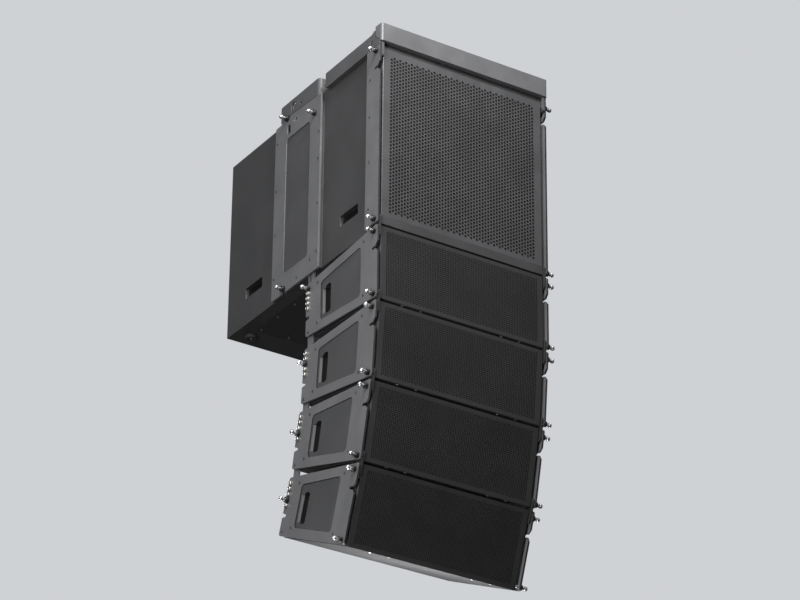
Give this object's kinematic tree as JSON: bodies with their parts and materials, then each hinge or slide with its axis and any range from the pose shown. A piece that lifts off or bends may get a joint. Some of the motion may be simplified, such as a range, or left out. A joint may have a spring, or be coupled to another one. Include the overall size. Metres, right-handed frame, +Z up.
{
  "type": "line array speaker",
  "caption": "Flown line array hang: a flying frame, a deep subwoofer and tilting two-way cabinets joined by pinned links, with perforated steel grilles and steel side plates.",
  "frame": {"origin": "centre of the middle pick-up hole in the flying frame's upright plate", "axes": "+Z up, the grilles face -Y, +X to the left of someone facing the grilles' direction (to the right of a viewer in front)"},
  "size_m": [0.6166, 0.836, 1.5938],
  "materials": {
    "cabinet": "plywood under dark grey textured paint, low sheen",
    "grille": "perforated steel, dark grey powder coat",
    "steel": "dark grey powder coat, satin",
    "frame_steel": "mid grey powder coat, satin",
    "handle": "dark grey, satin",
    "driver": "black",
    "panel": "dark grey, satin",
    "rubber": "matt black",
    "screws": "blackened steel",
    "zinc": "bright zinc",
    "pins": "polished"
  },
  "bodies": {
    "array_top": {"front_bar": "frame_steel", "rear_bar": "steel", "side_rails": "steel", "spine": "frame_steel", "frame_bolts": "zinc", "sub_cabinet": "cabinet", "sub_grille": "grille", "sub_front_plates": "steel", "sub_mid_plates": "steel", "sub_handles": "handle", "sub_driver": "driver", "sub_access_panel": "panel", "sub_feet": "rubber", "sub_screws": "screws", "sub_input_panel": "panel", "sub_links": "steel"},
    "frame_pins_left": {"frame_pins_left": "pins"},
    "frame_pins_right": {"frame_pins_right": "pins"},
    "sub_pins_left": {"sub_pins_left": "pins"},
    "sub_pins_right": {"sub_pins_right": "pins"},
    "el1": {"el1_cabinet": "cabinet", "el1_grille": "grille", "el1_side_plates": "steel", "el1_splay_bushes": "zinc", "el1_links": "steel", "el1_screws": "screws", "el1_drivers": "driver", "el1_input_panel": "panel"},
    "el1_pins_left": {"el1_pins_left": "pins"},
    "el1_pins_right": {"el1_pins_right": "pins"},
    "el2": {"el2_cabinet": "cabinet", "el2_grille": "grille", "el2_side_plates": "steel", "el2_splay_bushes": "zinc", "el2_links": "steel", "el2_screws": "screws", "el2_drivers": "driver", "el2_input_panel": "panel"},
    "el2_pins_left": {"el2_pins_left": "pins"},
    "el2_pins_right": {"el2_pins_right": "pins"},
    "el3": {"el3_cabinet": "cabinet", "el3_grille": "grille", "el3_side_plates": "steel", "el3_splay_bushes": "zinc", "el3_links": "steel", "el3_screws": "screws", "el3_drivers": "driver", "el3_input_panel": "panel"},
    "el3_pins_left": {"el3_pins_left": "pins"},
    "el3_pins_right": {"el3_pins_right": "pins"},
    "el4": {"el4_cabinet": "cabinet", "el4_grille": "grille", "el4_side_plates": "steel", "el4_splay_bushes": "zinc", "el4_links": "steel", "el4_screws": "screws", "el4_drivers": "driver", "el4_input_panel": "panel"},
    "el4_pins_left": {"el4_pins_left": "pins"},
    "el4_pins_right": {"el4_pins_right": "pins"}
  },
  "joints": [
    {"name": "frame_pins_left_pull", "type": "slide", "parent": "array_top", "child": "frame_pins_left", "axis": [-1, 0, 0], "range_m": [0, 0.045]},
    {"name": "frame_pins_right_pull", "type": "slide", "parent": "array_top", "child": "frame_pins_right", "axis": [1, 0, 0], "range_m": [0, 0.045]},
    {"name": "sub_pins_left_pull", "type": "slide", "parent": "array_top", "child": "sub_pins_left", "axis": [-1, 0, 0], "range_m": [0, 0.045]},
    {"name": "sub_pins_right_pull", "type": "slide", "parent": "array_top", "child": "sub_pins_right", "axis": [1, 0, 0], "range_m": [0, 0.045]},
    {"name": "el1_splay", "type": "hinge", "parent": "array_top", "child": "el1", "pos_m": [0, -0.321, -0.655], "axis": [1, 0, 0], "range_deg": [0, 4.8]},
    {"name": "el1_pins_left_pull", "type": "slide", "parent": "el1", "child": "el1_pins_left", "axis": [-1, 0, 0], "range_m": [0, 0.045]},
    {"name": "el1_pins_right_pull", "type": "slide", "parent": "el1", "child": "el1_pins_right", "axis": [1, 0, 0], "range_m": [0, 0.045]},
    {"name": "el2_splay", "type": "hinge", "parent": "el1", "child": "el2", "pos_m": [0, -0.321, -0.883], "axis": [1, 0, 0], "range_deg": [-4.8, 4.8]},
    {"name": "el2_pins_left_pull", "type": "slide", "parent": "el2", "child": "el2_pins_left", "axis": [-1, 0, 0], "range_m": [0, 0.045]},
    {"name": "el2_pins_right_pull", "type": "slide", "parent": "el2", "child": "el2_pins_right", "axis": [1, 0, 0], "range_m": [0, 0.045]},
    {"name": "el3_splay", "type": "hinge", "parent": "el2", "child": "el3", "pos_m": [0, -0.30192, -1.1102], "axis": [1, 0, 0], "range_deg": [-7.2, 2.4]},
    {"name": "el3_pins_left_pull", "type": "slide", "parent": "el3", "child": "el3_pins_left", "axis": [-1, 0, 0], "range_m": [0, 0.045]},
    {"name": "el3_pins_right_pull", "type": "slide", "parent": "el3", "child": "el3_pins_right", "axis": [1, 0, 0], "range_m": [0, 0.045]},
    {"name": "el4_splay", "type": "hinge", "parent": "el3", "child": "el4", "pos_m": [0, -0.25452, -1.33322], "axis": [1, 0, 0], "range_deg": [-7.2, 2.4]},
    {"name": "el4_pins_left_pull", "type": "slide", "parent": "el4", "child": "el4_pins_left", "axis": [-1, 0, 0], "range_m": [0, 0.045]},
    {"name": "el4_pins_right_pull", "type": "slide", "parent": "el4", "child": "el4_pins_right", "axis": [1, 0, 0], "range_m": [0, 0.045]}
  ]
}
